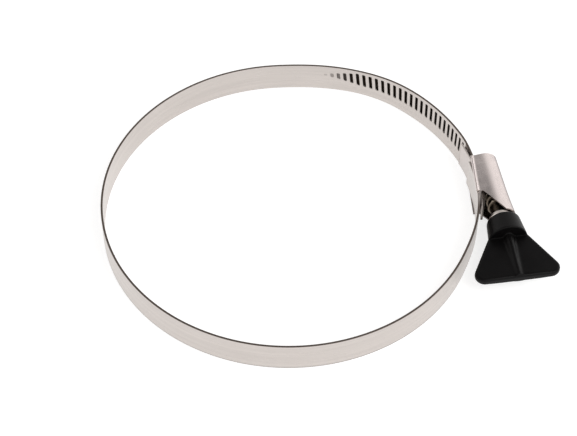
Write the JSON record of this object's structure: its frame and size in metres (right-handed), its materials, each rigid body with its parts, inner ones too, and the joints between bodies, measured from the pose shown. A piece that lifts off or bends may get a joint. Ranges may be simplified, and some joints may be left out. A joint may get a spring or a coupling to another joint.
{
  "type": "hose clamp",
  "caption": "Worm-drive hose clamp: steel band ring with pressed thread, screw housing and plastic wing grip for tightening by hand.",
  "frame": {"origin": "centre of the ring at the middle of the band's width", "axes": "+Z along the axis of the clamped hose; +X towards the screw housing; the screw lies along Y and its wing grip points to -Y"},
  "size_m": [0.1199, 0.103, 0.0116],
  "materials": {
    "band_steel": "bright rolled stainless strip with sheared edges",
    "housing_steel": "pressed sheet, satin",
    "screw_steel": "rolled thread, lightly oiled",
    "grip_plastic": "moulded, fine satin texture"
  },
  "bodies": {
    "housing": {"fixed_band": "band_steel", "saddle_plate": "housing_steel", "housing_shell": "housing_steel"},
    "band_end": {"threaded_band": "band_steel"},
    "screw": {"worm_screw": "screw_steel", "wing_grip": "grip_plastic"}
  },
  "joints": [
    {"name": "screw_turn", "type": "hinge", "parent": "housing", "child": "screw", "pos_m": [0.05685, 0, 0.0012], "axis": [0, 1, 0], "range_deg": [0, 6480]},
    {"name": "band_feed", "type": "hinge", "parent": "housing", "child": "band_end", "pos_m": [0, 0, 0], "axis": [0, 0, -1], "range_deg": [0, 38.12]}
  ],
  "couplings": [
    {"joint": "band_feed", "follows": "screw_turn", "ratio": 0.0058756}
  ]
}
